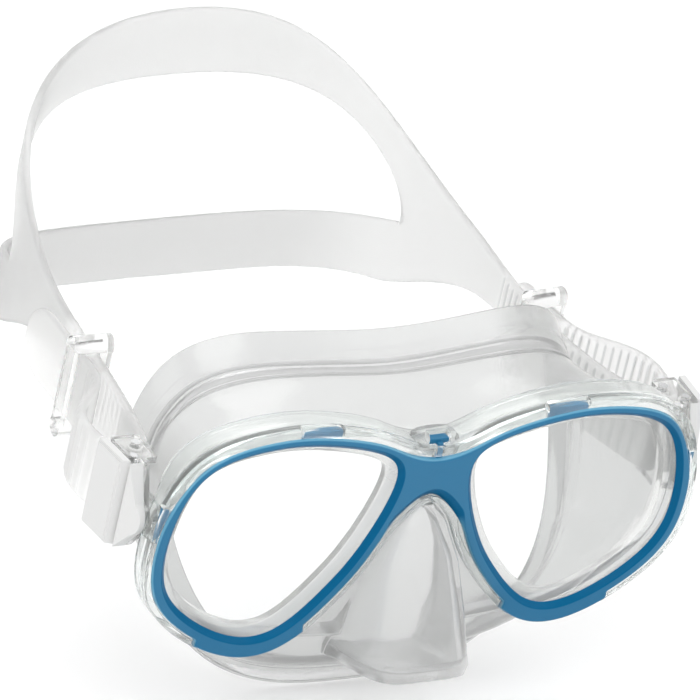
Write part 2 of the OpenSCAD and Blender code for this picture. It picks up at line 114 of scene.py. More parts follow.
def smooth(ctrl, count, out=0.0):
    """Closed cubic spline through the pull of its control points, moved along its normal."""
    c = np.array(ctrl, float)
    t = (np.arange(count) / count)[:, None]
    rows = []
    for i in range(len(c)):
        p, q, r, s = (c[(i + k) % len(c)] for k in range(4))
        point = ((1 - t) ** 3 * p + (3 * t ** 3 - 6 * t ** 2 + 4) * q
                 + (-3 * t ** 3 + 3 * t ** 2 + 3 * t + 1) * r + t ** 3 * s) / 6
        way = ((1 - t) ** 2 * (q - p) + (1 + 2 * t - 2 * t ** 2) * (r - q) + t ** 2 * (s - r)) / 2
        way /= np.linalg.norm(way, axis=1)[:, None]
        rows.append(point + out * np.stack([way[:, 1], -way[:, 0]], 1))
    return np.concatenate(rows)


def ease(u):
    """Soft step from 0 to 1."""
    u = np.clip(u, 0, 1)
    return u * u * (3 - 2 * u)


def squarer(wave, power):
    """Sine or cosine of a round outline, drawn towards a square."""
    return np.sign(wave) * np.abs(wave) ** power


def upright(flat, y):
    """Points of a flat outline stood up at depth y."""
    return np.stack([flat[:, 0], np.broadcast_to(y, len(flat)), flat[:, 1]], 1)


def mirrored(flat):
    """The same outline on the other side of the mask."""
    return flat[::-1] * [-1, 1]


def skin(rings, loop=False):
    """Closed mesh object through rings of equal length, capped unless the rings join end to end."""
    rings = np.array(rings, float)
    m, k = rings.shape[:2]
    mesh = bpy.data.meshes.new("skin")
    bm = bmesh.new()
    verts = [bm.verts.new((p + row) / 1000) for p in rings.reshape(-1, 3)]
    for j in range(m if loop else m - 1):
        for i in range(k):
            a, b = j * k + i, j * k + (i + 1) % k
            c, d = ((j + 1) % m) * k + (i + 1) % k, ((j + 1) % m) * k + i
            bm.faces.new((verts[a], verts[b], verts[c], verts[d]))
    if not loop:
        bm.faces.new(verts[:k])
        bm.faces.new(verts[-k:])
    bmesh.ops.recalc_face_normals(bm, faces=bm.faces)
    bm.to_mesh(mesh)
    bm.free()
    obj = bpy.data.objects.new("skin", mesh)
    bpy.context.collection.objects.link(obj)
    return obj


def combine(base, steps):
    """Applies Boolean steps to base, merges points left along straight edges and removes the tools."""
    for tool, how in steps:
        mod = base.modifiers.new(how, "BOOLEAN")
        mod.operation, mod.solver, mod.object = how, "EXACT", tool
    mesh = bpy.data.meshes.new_from_object(base.evaluated_get(bpy.context.evaluated_depsgraph_get()))
    base.modifiers.clear()
    base.data = mesh
    bm = bmesh.new()
    bm.from_mesh(mesh)
    bmesh.ops.remove_doubles(bm, verts=bm.verts, dist=merge_gap)
    spare = [v for v in bm.verts if len(v.link_edges) == 2 and v.calc_edge_angle(1.0) < straight]
    bmesh.ops.dissolve_verts(bm, verts=spare)
    bm.to_mesh(mesh)
    bm.free()
    for tool, _ in steps:
        bpy.data.objects.remove(tool)
    return base


def soften(obj, angle):
    """Smooth shading with sharp edges above an angle in degrees."""
    for poly in obj.data.polygons:
        poly.use_smooth = True
    obj.data.set_sharp_from_angle(angle=math.radians(angle))


def prism(outline, span):
    """Straight block of an outline between two depths."""
    return skin([upright(np.array(outline), y) for y in span])


def whole(half):
    """Both halves of an outline given for the right side."""
    half = np.array(half, float)
    return np.concatenate([half, half[-2:0:-1] * [-1, 1]])


outlines = np.array([whole(half) for half in skirt_half.values()])
depths = np.array(list(skirt_depth.values()))


def skirt_ring(s, inset=0.0, pull=0.0):
    """Ring of the skirt at place s along its wall: 0 front, 1 wall, 2 crease, 3 lip."""
    i = min(int(s), 2)
    t = s - i
    picks = [max(i - 1, 0), i, i + 1, min(i + 2, 3)]
    w = [-t ** 3 / 2 + t ** 2 - t / 2, 1.5 * t ** 3 - 2.5 * t ** 2 + 1,
         -1.5 * t ** 3 + 2 * t ** 2 + t / 2, t ** 3 / 2 - t ** 2 / 2]
    p = smooth(sum(k * outlines[j] for k, j in zip(w, picks)), 8, inset)
    d, wrap, forward = sum(k * depths[j] for k, j in zip(w, picks))
    chin = ease(-p[:, 1] / 50 + 0.3)
    return upright(p, d + wrap * (p[:, 0] / 68) ** 2 - forward * chin - pull)


def flat_ring(inset, y):
    """Ring of the flat front at depth y."""
    return upright(smooth(outlines[0], 8, inset), y)


def nose(inset):
    """Nose pocket, from the bridge down to its rounded bottom."""
    back = seat_y + (4 if inset else 1)
    # Height, half width and reach in front of the lenses, from the bridge down
    keyed = np.array([[8.0 - inset, 2.2, 0.3], [4 - inset / 2, 6.0, 2.2], [-6, 10, 7], [-19, 12.4, 13],
                      [-29 + inset / 2, 14, 18], [-31.6 + inset, 13.6, 17.8], [-32.5 + inset, 12.4, 16.8]])
    a = np.radians(np.arange(0, 181, 6))
    c, s = np.cos(a), np.sin(a)
    rings = []
    for z in np.concatenate([np.linspace(keyed[0, 0], keyed[4, 0], 22), keyed[5:, 0]]):
        half = np.interp(-z, -keyed[:, 0], keyed[:, 1]) - inset
        reach = np.interp(-z, -keyed[:, 0], keyed[:, 2]) - inset
        low = ease((-16 - z) / 14)
        deep = back + 5.5 * low
        x = half * squarer(c, nose_side)
        y = deep - (deep + reach) * s ** nose_front
        rings.append(np.stack([x, y, z - 8 * low * (1 - s ** nose_front)], 1))
    return skin(rings)


wall_places = [(s, 0.0) for s in np.linspace(0, 3, 28)]
crease_groove = [(1.95, 0.0), (1.975, 0.4), (2.015, 0.4), (2.04, 0.0)]
lip_bead = [(2.46, -0.05), (2.475, -0.25), (2.505, -0.25), (2.52, -0.05)]
outer = [flat_ring(0.25, seat_y), flat_ring(0.0, 4.05)]
outer += [skirt_ring(s, inset) for s, inset in sorted(wall_places + crease_groove + lip_bead)]
turned = [skirt_ring(*place_on) for place_on in (
    (3, 0.25, -0.25), (3, 0.6, -0.2), (3, 0.95, 0.2), (2.8, 1.3, 0.4), (2.5, 1.6, 0.4), (2.42, 2.0, 0.2),
    (2.5, 4.0, 0.2), (2.62, 6.4, 0.6), (2.66, 7.2, 0.8), (2.64, 7.4, 1.1), (2.55, 6.6, 1.3),
    (2.38, 4.2, 1.0), (2.2, 2.3, 0.5))]
inner = [skirt_ring(s, 2.0, 0.3) for s in np.linspace(2.05, 1, 12)]
inner += [skirt_ring(0.6, 2.3), skirt_ring(0.25, 3.0)]
inner += [flat_ring(3.4, 5.8), flat_ring(3.8, 5.6), flat_ring(3.8, seat_y)]
skirt = skin(outer + turned + inner, loop=True)
right_seat = smooth(lens_ctrl, 10, -seat_in) + lens_middle
right_bed = smooth(lens_ctrl, 10, bed_out) + lens_middle
skirt = combine(skirt, [
    (prism(smooth(outlines[0], 8, 1.0), plate_span), "UNION"),
    (prism(right_bed, bed_span), "UNION"),
    (prism(mirrored(right_bed), bed_span), "UNION"),
    (nose(0.0), "UNION"),
    (prism(right_seat, seat_span), "DIFFERENCE"),
    (prism(mirrored(right_seat), seat_span), "DIFFERENCE"),
    (nose(nose_wall), "DIFFERENCE")])
skirt.name = "clear_skirt"
soften(skirt, 32)


def places(obj):
    """Points of an object in mm from the middle of the mask."""
    return np.array([v.co for v in obj.data.vertices]) * 1000 - row


def distances(line, spots):
    """Distances of each spot, folded onto the right side, from the points of a flat line."""
    return [np.hypot(*(line - [abs(x), z]).T) for x, _, z in spots]


def mark(mesh, name, values):
    """Stores one value for each point, for a material to read."""
    mesh.attributes.new(name, "FLOAT", "POINT").data.foreach_set("value", values)


def new_material(name):
    """New material, with its nodes, its links and its main shader."""
    material = bpy.data.materials.new(name)
    material.use_nodes = True
    tree = material.node_tree
    return material, tree.nodes, tree.links, tree.nodes["Principled BSDF"]


def mould(nodes, links, shader, values):
    """Gives a shader the moulded surface with its own values."""
    surface = nodes.new("ShaderNodeGroup")
    surface.node_tree = moulded_surface
    for name, value in values.items():
        surface.inputs[name].default_value = value
    links.new(surface.outputs["Normal"], shader.inputs["Normal"])
    links.new(surface.outputs["Roughness"], shader.inputs["Roughness"])
    return surface


def colours(nodes, first, last, begin=0.0, end=1.0):
    """Ramp from a first to a last colour."""
    tone = nodes.new("ShaderNodeValToRGB")
    for stop, colour, at in zip(tone.color_ramp.elements, (first, last), (begin, end)):
        stop.color = (*colour, 1)
        stop.position = at
    return tone


def blend(nodes, links, factor, first, blend_type="MIX"):
    """Mix of a first colour with another, by a factor that changes over the surface."""
    mix = nodes.new("ShaderNodeMix")
    mix.data_type, mix.blend_type = "RGBA", blend_type
    if factor is not None:
        links.new(factor, mix.inputs["Factor"])
    if first is not None:
        links.new(first, mix.inputs["A"])
    return mix


def read_mark(nodes, name):
    """Value stored for each point by mark."""
    reader = nodes.new("ShaderNodeAttribute")
    reader.attribute_name = name
    return reader.outputs["Fac"]


def pale_shadow(nodes, links, shader, share):
    """Lets a share of the lamp light through a clear piece."""
    path, clear = nodes.new("ShaderNodeLightPath"), nodes.new("ShaderNodeMath")
    clear.operation = "MULTIPLY_ADD"
    clear.inputs[1].default_value = -share
    clear.inputs[2].default_value = 1.0
    links.new(path.outputs["Is Shadow Ray"], clear.inputs[0])
    links.new(clear.outputs["Value"], shader.inputs["Alpha"])


def wear(obj, material):
    """Gives a piece one material and no other."""
    obj.data.materials.clear()
    obj.data.materials.append(material)


opening = smooth(lens_ctrl, 24) + lens_middle
spots = places(skirt)
to_glass = np.array([np.min(d) for d in distances(opening, spots)])
# Painted light: the silicone within 3 mm of the glass, in front, is drawn paler where the lens and frame
# shade it
mark(skirt.data, "seat", ((to_glass < 3.0) * (spots[:, 1] < 7.0)).astype(float))

clear_silicone, nodes, links, shader = new_material("Clear silicone")
shader.inputs["IOR"].default_value = 1.41
shader.inputs["Transmission Weight"].default_value = 0.74
mould(nodes, links, shader, {"Grain": 0.25, "Wave": 0.06, "Wave scale": 45.0,
                             "Rough low": 0.07, "Rough high": 0.16})
# Paler where the surface turns from view: a painted edge highlight
weight = nodes.new("ShaderNodeLayerWeight")
weight.inputs["Blend"].default_value = 0.45
tone = colours(nodes, (0.75, 0.755, 0.752), (0.79, 0.795, 0.79))
links.new(weight.outputs["Facing"], tone.inputs["Fac"])
# Painted light, paler near the seat
seat_painted_light = blend(nodes, links, read_mark(nodes, "seat"), tone.outputs["Color"])
seat_painted_light.inputs["B"].default_value = (0.97, 0.97, 0.96, 1)
links.new(seat_painted_light.outputs["Result"], shader.inputs["Base Color"])
pale_shadow(nodes, links, shader, 0.85)
wear(skirt, clear_silicone)
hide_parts("skirt")
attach(skirt, "mask")


# Frame: clear hard plastic rim round both lenses, joined over the nose, with a deeper stepped brow.
# A flange behind the bezel fits round the edge of the glass, and an ear on each side carries a buckle pin.
# The skirt and the bezel clip into it.
bezel_thin = 0.95                           # how much narrower the bezel is over the lenses
arch_fall = 1.4                             # how steeply the arch over the nose falls
foot_ends, foot_turn = (-5.4, 20.4), 0.8    # ends of the prising foot, and how softly it starts
pin_spot, pin_hole, ear_r = np.array([8.5, 9.0]), 2.01, 4.8
joins = {"first": 400, "last": 470, "top": 359}      # points of the lens outline near the bridge


def contour(out, top, arch, bend, foot=0.0, thin=0.0):
    """Outline round both lenses at a distance from the openings, joined over and under the bridge."""
    base = smooth(lens_ctrl, 40)
    normal = smooth(lens_ctrl, 40, 1.0) - base
    far = out - thin * ease((base[:, 1] - 6) / 14)
    if foot:
        x = base[:, 0]
        starts, stops = ease((x - foot_ends[0]) / foot_turn), ease((foot_ends[1] - x) / foot_turn)
        far += foot * starts * stops * (base[:, 1] < -10)
    ring = base + far[:, None] * normal + lens_middle

    def arch_height(x):
        return arch - arch_fall * (np.hypot(x, bend) - bend)

    near = ring[joins["first"]:joins["last"]]
    meet = joins["first"] + int(np.argmax(near[:, 1] < arch_height(near[:, 0])))
    ring = np.concatenate([ring[meet:], ring[:joins["top"]]])
    x = np.linspace(0, 1, 31)[:-1] * ring[0, 0]
    under = np.stack([x, arch_height(x)], 1)
    u = np.linspace(0, 1, 24)[:, None]
    end, come = ring[-1], ring[-1] - ring[-2]
    come = come / np.linalg.norm(come)
    over = ((1 - u) ** 3 * end + 3 * u * (1 - u) ** 2 * (end + 6 * come)
            + 3 * u ** 2 * (1 - u) * np.array([7.0, top]) + u ** 3 * np.array([0, top]))
    half = np.concatenate([under, ring, over[1:]])
    for _ in range(20):
        half[20:46] = (half[19:45] + 2 * half[20:46] + half[21:47]) / 4
    return np.concatenate([half, half[-2:0:-1] * [-1, 1]])


def outward(line):
    """Normals of a closed line, pointing out."""
    way = np.roll(line, -1, 0) - np.roll(line, 1, 0)
    way /= np.linalg.norm(way, axis=1)[:, None]
    return np.stack([way[:, 1], -way[:, 0]], 1)


def rounded(x0, x1, y0, y1, z0, z1, edge):
    """Small block with rounded corners and softly broken front and back edges."""
    t = np.radians(np.arange(0, 360, 10))
    rings = []
    for y, k in ((y0, edge), (y0 + 0.3 * edge, 0.3 * edge), (y0 + edge, 0.0), (y1 - edge, 0.0),
                 (y1 - 0.3 * edge, 0.3 * edge), (y1, edge)):
        px = (x0 + x1) / 2 + ((x1 - x0) / 2 - k) * squarer(np.cos(t), 0.2)
        pz = (z0 + z1) / 2 + ((z1 - z0) / 2 - k) * squarer(np.sin(t), 0.2)
        rings.append(np.stack([px, np.full(len(t), y), pz], 1))
    return skin(rings)


rim = contour(5.6, 25.0, 9.2, 4.2)
rim_normal = outward(rim)
aside, height = np.abs(rim[:, 0]), rim[:, 1]
brow = ease((height - 12) / 15)
high = ease((height - 10) / 16)
near_nose = ease((24 - aside) / 6) * (height < 20) + ease((-12 - height) / 5) * ease((52 - aside) / 8)
back_y = 5.0 - 1.7 * np.clip(near_nose, 0, 1)
relief = ease((aside - 30.2) / 0.5) * ease((57 - aside) / 0.5) * (height < -10)
rings = []
# Front and outer side: distance from the rim and depth
for r, y in ((-1.7, -0.85), (-1.58, -1.04), (-1.4, -1.1), (-0.5, -1.1), (-0.2, -1.0), (-0.04, -0.75),
             (0.0, -0.4), (0.0, 1.0), (-0.14, 1.2), (-0.18, 1.5), (-0.04, 1.75), (0.0, 2.4)):
    q = rim + (r - bezel_thin * high * (r < -1))[:, None] * rim_normal
    rings.append(upright(q, y + np.maximum(0, 1.18 + y / 40 - y) * relief))
# Back edge: distance from the rim, share of the depth and share of the brow
for r, part, deep in ((0.0, 0.80, 0.35), (-0.15, 0.86, 0.42), (-0.75, 0.90, 0.46), (-0.8, 0.93, 0.62),
                      (-0.45, 0.95, 0.68), (-0.45, 0.97, 0.90), (-0.7, 1.0, 1.0), (-1.5, 1.0, 1.0),
                      (-1.7, 0.97, 0.94), (-1.7, 0.78, 0.1)):
    rings.append(upright(rim + r * rim_normal, 2.6 + (back_y - 2.6) * part + 3.5 * deep * brow))
# Flange round the edge of the glass: distance from the rim and depth
for r, y in ((-1.8, 3.25), (-3.1, 3.2), (-3.2, 3.1), (-3.2, 1.3), (-3.1, 1.15), (-1.8, 1.12), (-1.7, 1.05)):
    rings.append(upright(rim + r * rim_normal, y))
frame_obj = skin(rings, loop=True)
frame_obj.name = "clear_frame"

# Ears for the pivot pins, square in front and round behind
frame_parts = []
a = np.radians(np.arange(0, 360, 5))
circle = np.stack([np.cos(a), np.sin(a)], 1)
hole = pin_spot + pin_hole * circle
ear = pin_spot + ear_r * circle
ahead = circle[:, 0] < -0.1
ear[ahead, 0] = np.maximum(3.2, pin_spot[0] - 9.0 * np.abs(circle[ahead, 0]))
ear[ahead, 1] = pin_spot[1] + ear_r * squarer(circle[ahead, 1], 0.4)
for side in (-1, 1):
    rings = []
    for x, k in ((72.6, 0.3), (72.8, 0.06), (73.0, 0.0), (74.4, 0.0), (74.62, 0.06), (74.8, 0.3)):
        p = ear + (np.array([7.4, 9]) - ear) * k / 5
        rings.append(np.stack([np.full(len(a), side * x), p[:, 0], p[:, 1]], 1))
    for x in (74.8, 72.6):
        rings.append(np.stack([np.full(len(a), side * x), hole[:, 0], hole[:, 1]], 1))
    frame_parts.append(skin(rings, loop=True))
# Block over the bridge that takes the middle clip: depth and how far its edge is broken
block = []
t = np.radians(np.arange(0, 360, 6))
for y, k in ((1.0, 1.1), (1.15, 0.65), (1.5, 0.28), (2.1, 0.0), (5.4, 0.0), (6.0, 0.28), (6.35, 0.65),
             (6.5, 1.1)):
    px = (6.2 - k) * squarer(np.cos(t), 0.7)
    pz = 24.4 + (3.1 - k) * squarer(np.sin(t), 0.7)
    block.append(np.stack([px, np.full(len(t), y), pz], 1))
frame_parts.append(skin(block))
frame_obj = combine(frame_obj, [(part, "UNION") for part in frame_parts])

# Bezel clips as x, y and z limits, then the room of their notches at the left, the right and the top
clip_room = 0.3
clips = [((29, 40, 0.2, 1.6, 30, 32.5), (0.3, 0.3, 1.0)), ((-40, -29, 0.2, 1.6, 30, 32.5), (0.3, 0.3, 1.0)),
         ((73, 74.6, 0.2, 1.6, 6, 15), (0.3, 1.2, 0.3)), ((-74.6, -73, 0.2, 1.6, 6, 15), (1.2, 0.3, 0.3)),
         ((-0.8, 0.8, 0.2, 1.6, 20.5, 25.4), (0.3, 0.3, 0.3)),
         ((-2.7, 2.7, 1.2, 3.4, 24.8, 26.2), (0.3, 0.3, 3.0))]
notches = []
for (x0, x1, y0, y1, z0, z1), (left_room, right_room, top_room) in clips:
    notch = rounded(x0 - left_room, x1 + right_room, y0 - clip_room, y1 + clip_room,
                    z0 - clip_room, z1 + top_room, 0.1)
    notches.append((notch, "DIFFERENCE"))
frame_obj = combine(frame_obj, notches)
soften(frame_obj, 32)

clear_plastic, nodes, links, shader = new_material("Clear polycarbonate")
shader.inputs["IOR"].default_value = 1.28
shader.inputs["Transmission Weight"].default_value = 0.94
mould(nodes, links, shader, {"Grain": 0.01, "Wave": 0.02, "Wave scale": 70.0,
                             "Rough low": 0.04, "Rough high": 0.12})
# Paler where the surface turns from view: a painted edge highlight
weight = nodes.new("ShaderNodeLayerWeight")
weight.inputs["Blend"].default_value = 0.5
tone = colours(nodes, (0.91, 0.935, 0.925), (0.97, 0.99, 0.98))
links.new(weight.outputs["Facing"], tone.inputs["Fac"])
links.new(tone.outputs["Color"], shader.inputs["Base Color"])
pale_shadow(nodes, links, shader, 0.85)
wear(frame_obj, clear_plastic)
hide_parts("frame")
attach(frame_obj, "mask")


# Lenses: two flat panes of tempered glass, 3.5 mm thick with a ground edge.
# Each lies on the silicone seat inside the frame and is held down by the bezel.
facet_gap = 0.00001                         # CAD points this close are one, in m
edge_turn, face_turn = 0.3, 0.9             # how squarely a surface faces forward: ground edge, clear face


def round_edges(obj, name, width, segments, angle):
    """Joins the facets of a CAD piece and rounds its edges sharper than an angle in degrees."""
    weld = obj.modifiers.new("Weld", "WELD")
    weld.merge_threshold = facet_gap
    edge = obj.modifiers.new(name, "BEVEL")
    edge.width = width
    edge.segments = segments
    edge.limit_method = "ANGLE"
    edge.angle_limit = math.radians(angle)
    edge.harden_normals = True


tempered_glass, nodes, links, shader = new_material("Tempered glass")
shader.inputs["IOR"].default_value = 1.5
shader.inputs["Transmission Weight"].default_value = 1.0
surface = mould(nodes, links, shader, {"Grain": 0.0, "Wave": 0.004, "Wave scale": 20.0,
                                       "Rough low": 0.0, "Rough high": 0.03})
facing, parts = nodes.new("ShaderNodeTexCoord"), nodes.new("ShaderNodeSeparateXYZ")
links.new(facing.outputs["Normal"], parts.inputs["Vector"])
forward = nodes.new("ShaderNodeMath")
forward.operation = "ABSOLUTE"
links.new(parts.outputs["Y"], forward.inputs[0])
ground = nodes.new("ShaderNodeMapRange")
ground.inputs["From Min"].default_value = edge_turn
ground.inputs["From Max"].default_value = face_turn
ground.inputs["To Min"].default_value = 0.55
links.new(forward.outputs["Value"], ground.inputs["Value"])
links.new(surface.outputs["Roughness"], ground.inputs["To Max"])
links.new(ground.outputs["Result"], shader.inputs["Roughness"])
tone = colours(nodes, (0.74, 0.80, 0.78), (0.985, 0.99, 0.988), edge_turn, face_turn)
links.new(forward.outputs["Value"], tone.inputs["Fac"])
links.new(tone.outputs["Color"], shader.inputs["Base Color"])
pale_shadow(nodes, links, shader, 0.95)
for side in ("left", "right"):
    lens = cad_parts["lens_" + side]
    round_edges(lens, "Ground edge", 0.0003, 2, 50)
    wear(lens, tempered_glass)


# Bezel: satin blue plastic retainer, one piece round both lenses with a wide bridge over the nose.
# Its flat face falls to the glass in a darker slope, and a wider foot under each lens takes a prising tool.
# Tabs at the top, the sides and the bridge snap into the frame.
# A painted highlight runs along its outer rim.
# Painted shade darkens the bevel of the arch and the lower part of the face.
lip = contour(3.6, 21.5, 11.1, 5.2, foot=1.7, thin=bezel_thin)
lip_normal = outward(lip)
arched = ease((12 - np.abs(lip[:, 0])) / 4) * (lip[:, 1] < 18)
bm = bmesh.new()


def bezel_ring(flat, y):
    """Points of the bezel at depth y along a flat outline."""
    return [bm.verts.new((p + row) / 1000) for p in upright(flat, y)]


# Outer side, from the back to the face: distance and depth, then the same along the arch over the nose
outside = []
for r, y, arch_r, arch_y in ((-0.3, 0.9, -0.3, 0.9), (0.0, 0.7, 0.0, 0.7), (0.0, -0.7, 0.0, 0.1),
                             (-0.08, -1.03, -0.15, -0.05), (-0.27, -1.28, -2.0, -1.3),
                             (-0.6, -1.4, -2.4, -1.4)):
    q = lip + (r + (arch_r - r) * arched)[:, None] * lip_normal
    outside.append(bezel_ring(q, y + (arch_y - y) * arched))
# Round each lens, from the back to the face: distance from the opening and depth
opening_normal = smooth(lens_ctrl, 24, 1.0) + lens_middle - opening
over_lens = ease((opening[:, 1] - 6) / 14)
around = {1: [], -1: []}
for side in around:
    for r, y in ((2.5, 0.9), (2.5, 0.12), (0.05, 0.12), (0.0, 0.0), (0.05, -0.12), (1.1, -1.2),
                 (1.28, -1.35), (1.55, -1.4)):
        q = opening + (r - 0.3 * over_lens * (r > 2))[:, None] * opening_normal
        around[side].append(bezel_ring(q * [side, 1], y))
chains = (outside, around[1], around[-1])
for chain in chains:
    for one, two in zip(chain[:-1], chain[1:]):
        for i in range(len(one)):
            j = (i + 1) % len(one)
            bm.faces.new((one[i], one[j], two[j], two[i]))
for last in (0, -1):
    border = []
    for chain in chains:
        ring = chain[last]
        border += [bm.edges.get((ring[i], ring[(i + 1) % len(ring)])) for i in range(len(ring))]
    bmesh.ops.triangle_fill(bm, use_beauty=True, use_dissolve=False, edges=border)
bmesh.ops.recalc_face_normals(bm, faces=bm.faces)
mesh = bpy.data.meshes.new("blue_bezel")
bm.to_mesh(mesh)
bm.free()
bezel = bpy.data.objects.new("blue_bezel", mesh)
bpy.context.collection.objects.link(bezel)
bezel = combine(bezel, [(rounded(*limits, 0.2), "UNION") for limits, _ in clips])
soften(bezel, 38)
even = bezel.modifiers.new("Flat faces", "WEIGHTED_NORMAL")
even.keep_sharp = True
spots = places(bezel)
depth = spots[:, 1]
to_glass = np.array([np.min(d) for d in distances(opening, spots)])
to_lip = distances(lip, spots)
near_arch = np.array([arched[np.argmin(d)] * (np.min(d) < 2.2) for d in to_lip])
# Slope to the glass, darker in its own colour, and the bevel of the arch, darkened as painted shade
slope_and_shade = np.maximum(to_glass < 1.4, near_arch * (depth < 0.2) * (depth > -1.36))
# Painted shade, darker towards the bottom of the face
slope_and_shade = np.maximum(slope_and_shade, 0.36 * ease((-10 - spots[:, 2]) / 12))
# Painted highlight in a thin band along the outer rim
rim_highlight = (np.array([np.min(d) for d in to_lip]) < 0.2) * (1 - near_arch) * ease((0.1 - depth) / 0.9)
# The slope mark carries the slope's own colour and the painted shade on the arch bevel and lower face
mark(bezel.data, "slope", slope_and_shade)
mark(bezel.data, "rim", rim_highlight)

blue_plastic, nodes, links, shader = new_material("Satin blue plastic")
shader.inputs["IOR"].default_value = 1.5
surface = mould(nodes, links, shader, {"Grain scale": 2600.0, "Grain": 0.22, "Wave": 0.01,
                                       "Rough low": 0.30, "Rough high": 0.42})
front = nodes.new("ShaderNodeMapRange")
front.inputs["From Min"].default_value = 0.8
front.inputs["From Max"].default_value = 0.2
links.new(read_mark(nodes, "slope"), front.inputs["Value"])
# Slope colour, which is also the painted shade on the arch bevel and the lower face, against the face
# colour
paint = blend(nodes, links, front.outputs["Result"], None)
paint.inputs["A"].default_value = (0.0, 0.117, 0.264, 1)
paint.inputs["B"].default_value = (0.014, 0.168, 0.330, 1)
# Painted highlight along the outer rim
painted_rim_highlight = blend(nodes, links, read_mark(nodes, "rim"), paint.outputs["Result"])
painted_rim_highlight.inputs["B"].default_value = (0.14, 0.40, 0.58, 1)
shine = nodes.new("ShaderNodeMapRange")
shine.inputs["To Min"].default_value = 0.08
shine.inputs["To Max"].default_value = 0.36
links.new(front.outputs["Result"], shine.inputs["Value"])
links.new(shine.outputs["Result"], shader.inputs["Specular IOR Level"])
patchy = blend(nodes, links, None, painted_rim_highlight.outputs["Result"], "MULTIPLY")
patchy.inputs["Factor"].default_value = 0.12
links.new(surface.outputs["Patches"], patchy.inputs["B"])
links.new(patchy.outputs["Result"], shader.inputs["Base Color"])
wear(bezel, blue_plastic)
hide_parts("bezel")
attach(bezel, "mask")


# Pivot pins, lever pins and roller pins: satin stainless steel, turned, with softly broken edges.
# The pivot pins are pressed into the frame ears, the other pins into the cheeks of the buckle cages.
satin_steel, nodes, links, shader = new_material("Satin steel")
shader.inputs["Metallic"].default_value = 1.0
surface = mould(nodes, links, shader, {"Grain scale": 4000.0, "Grain": 0.3, "Wave": 0.0,
                                       "Rough low": 0.22, "Rough high": 0.38})
tone = colours(nodes, (0.50, 0.51, 0.52), (0.66, 0.66, 0.66))
links.new(surface.outputs["Patches"], tone.inputs["Fac"])
links.new(tone.outputs["Color"], shader.inputs["Base Color"])
for kind in ("pivot_pin_", "lever_pin_", "roller_pin_"):
    for side in ("left", "right"):
        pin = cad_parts[kind + side]
        round_edges(pin, "Broken edge", 0.00015, 2, 50)
        wear(pin, satin_steel)


# Buckle cages: clear hard plastic, a swivel plate on the pivot pin with a cheek above and below the strap.
# They hold the roller and the lever between them.
milky_plastic, nodes, links, shader = new_material("Milky clear plastic")
shader.inputs["IOR"].default_value = 1.30
shader.inputs["Transmission Weight"].default_value = 0.93
surface = mould(nodes, links, shader, {"Grain scale": 2400.0, "Grain": 0.10, "Wave": 0.03,
                                       "Rough low": 0.07, "Rough high": 0.16})
tone = colours(nodes, (0.95, 0.955, 0.95), (0.99, 0.99, 0.985))
links.new(surface.outputs["Patches"], tone.inputs["Fac"])
links.new(tone.outputs["Color"], shader.inputs["Base Color"])
pale_shadow(nodes, links, shader, 0.75)
for side in ("left", "right"):
    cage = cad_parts["buckle_cage_" + side]
    round_edges(cage, "Moulded edge", 0.0003, 3, 40)
    wear(cage, milky_plastic)


# Buckle covers, release levers and strap rollers: white moulded plastic with rounded edges.
# The covers are wedges fixed on the cages. The levers turn on their pins behind the crease and clamp the
# strap tail, and the rollers turn freely.
white_plastic, nodes, links, shader = new_material("White plastic")
shader.inputs["IOR"].default_value = 1.48
surface = mould(nodes, links, shader, {"Grain scale": 3600.0, "Grain": 0.05, "Wave": 0.0,
                                       "Rough low": 0.29, "Rough high": 0.36})
tone = colours(nodes, (0.69, 0.695, 0.69), (0.72, 0.72, 0.715))
links.new(surface.outputs["Patches"], tone.inputs["Fac"])
links.new(tone.outputs["Color"], shader.inputs["Base Color"])
for kind, width in (("buckle_cover_", 0.0007), ("release_lever_", 0.0007), ("strap_roller_", 0.0002)):
    for side in ("left", "right"):
        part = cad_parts[kind + side]
        round_edges(part, "Moulded edge", width, 3, 30)
        wear(part, white_plastic)


# Strap: one frosted silicone moulding, ribbed at both ends, plain at the sides, split in two at the back.
# Each end runs round a buckle roller and its tail comes back outside the side run.
# Painted shade darkens the rib valleys.
lean, aim = math.radians(20), math.radians(8)
roller, run_r = np.array([74.2, 18.5]), 3.2
thick, rib_h, edge_r, rib_fade = 2.0, 0.6, 1.1, 1.6
strap_z, tail_half = 11, 9.5                # height of the buckles and half the width of a tail
tail_gap, tail_ribs = 3.6, 63               # from the run to the tail, and rib steps along the tail
tip_rate, far = 210, 99                     # mm for one unit of t at a tip, and a distance past every edge
begin = roller - run_r * np.array([math.cos(lean), math.sin(lean)])
plan = [begin, begin + 110 * np.array([-math.sin(aim), math.cos(aim)]),
        np.array([62.0, 150.0]), np.array([0.0, 150.0])]
split, split_z, rib_end, rib_step, meet = 0.44, 12.0, 0.21, 0.0024, 0.126
seam_gap = 0.000008                         # points of two bands this close are one, in m
# Where each tail ends, how long its round tip is and which side it is on. Then how much painted shade
# falls in the rib valleys, on the ribbed face and the plain face, along the tail and along the side run
ends = [{"tail": 0.222, "tip": 0.035, "side": 1, "tail_valley_shade": (0.3, 0.9), "run_valley_shade": (1, 0.1)},
        {"tail": 0.272, "tip": 0.05, "side": -1, "tail_valley_shade": (0.35, 0.1), "run_valley_shade": (0.6, 0.1)}]


def bezier(t, p, q, r, s):
    """Cubic curve from p to s."""
    return (1 - t) ** 3 * p + 3 * t * (1 - t) ** 2 * q + 3 * t ** 2 * (1 - t) * r + t ** 3 * s


def run(t):
    """Middle of the side run, which bows in behind the buckle."""
    u = max(t, 0) / 0.3
    return bezier(t, *plan) - np.array([3.25 * 6.75 * u * (1 - u) ** 2 if u < 1 else 0.0, 0.0])


